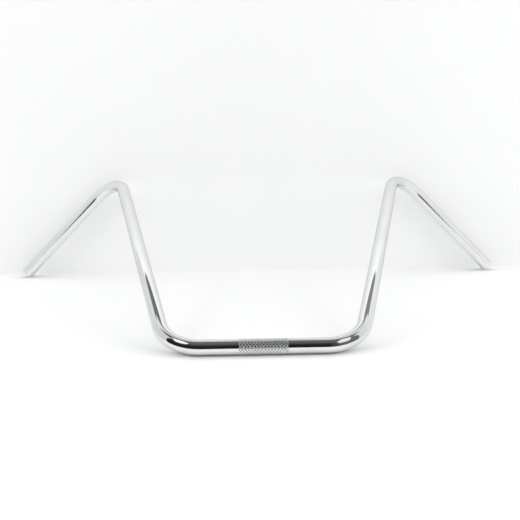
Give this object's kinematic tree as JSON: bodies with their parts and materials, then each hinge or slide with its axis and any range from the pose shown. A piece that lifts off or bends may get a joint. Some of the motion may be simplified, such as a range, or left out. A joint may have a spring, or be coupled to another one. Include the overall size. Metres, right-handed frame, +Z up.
{
  "type": "motorcycle handlebar",
  "caption": "Tall motorcycle handlebar of bent chromed steel tube, with a knurled clamp zone, long splayed uprights and straight grips that fall away outward.",
  "frame": {"origin": "middle of the knurled clamp zone, on the tube axis", "axes": "+X along the centre tube to the right, +Y to the back, away from the camera, +Z up; the bar lies on its clamp zone and its two open ends"},
  "size_m": [0.9292, 0.477, 0.1918],
  "materials": {
    "chrome": "polished"
  },
  "bodies": {
    "root": {"handlebar": "chrome"}
  },
  "joints": []
}
